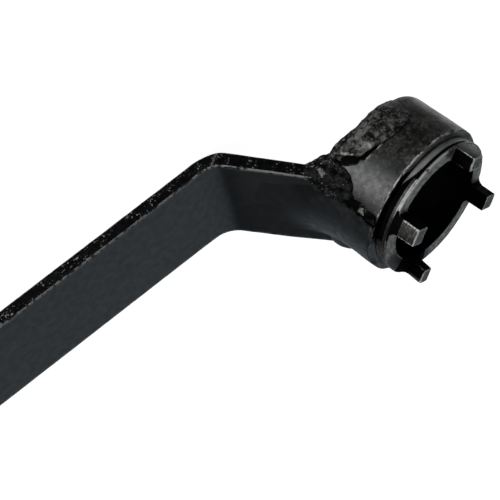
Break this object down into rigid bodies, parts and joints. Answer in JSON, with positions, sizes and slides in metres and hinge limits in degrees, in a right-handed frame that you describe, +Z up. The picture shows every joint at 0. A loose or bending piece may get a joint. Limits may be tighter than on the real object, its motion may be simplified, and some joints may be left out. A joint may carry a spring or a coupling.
{
  "type": "fire hydrant wrench",
  "caption": "Hand wrench for hydrants: a clawed round socket welded to a cranked flat-bar handle with a hanging hole.",
  "frame": {"origin": "centre of the bounding box at the height of the handle's flat underside, on which the tool lies", "axes": "+X along the handle towards the socket, +Z up away from the surface it lies on, +Y across the handle; the socket's axis leans 8.83 degrees from +Z towards +X, claws up"},
  "size_m": [0.38, 0.0602, 0.077],
  "materials": {
    "bar_paint": "satin black paint over rolled flat bar",
    "collar_paint": "satin black paint, worn bright at the front edge",
    "claw_steel": "blackened turned steel with bright worn edges",
    "rough_weld": "rough painted weld with rust and scale tints",
    "smooth_weld": "dressed and painted weld"
  },
  "bodies": {
    "root": {"handle_bar": "bar_paint", "socket_collar": "collar_paint", "claw_ring": "claw_steel", "collar_seam_weld": "rough_weld", "rear_rim_weld": "rough_weld", "top_corner_weld": "rough_weld", "face_fillet_weld": "smooth_weld", "bottom_corner_weld": "smooth_weld", "back_weld_top": "rough_weld", "back_weld_bottom": "rough_weld"}
  },
  "joints": []
}
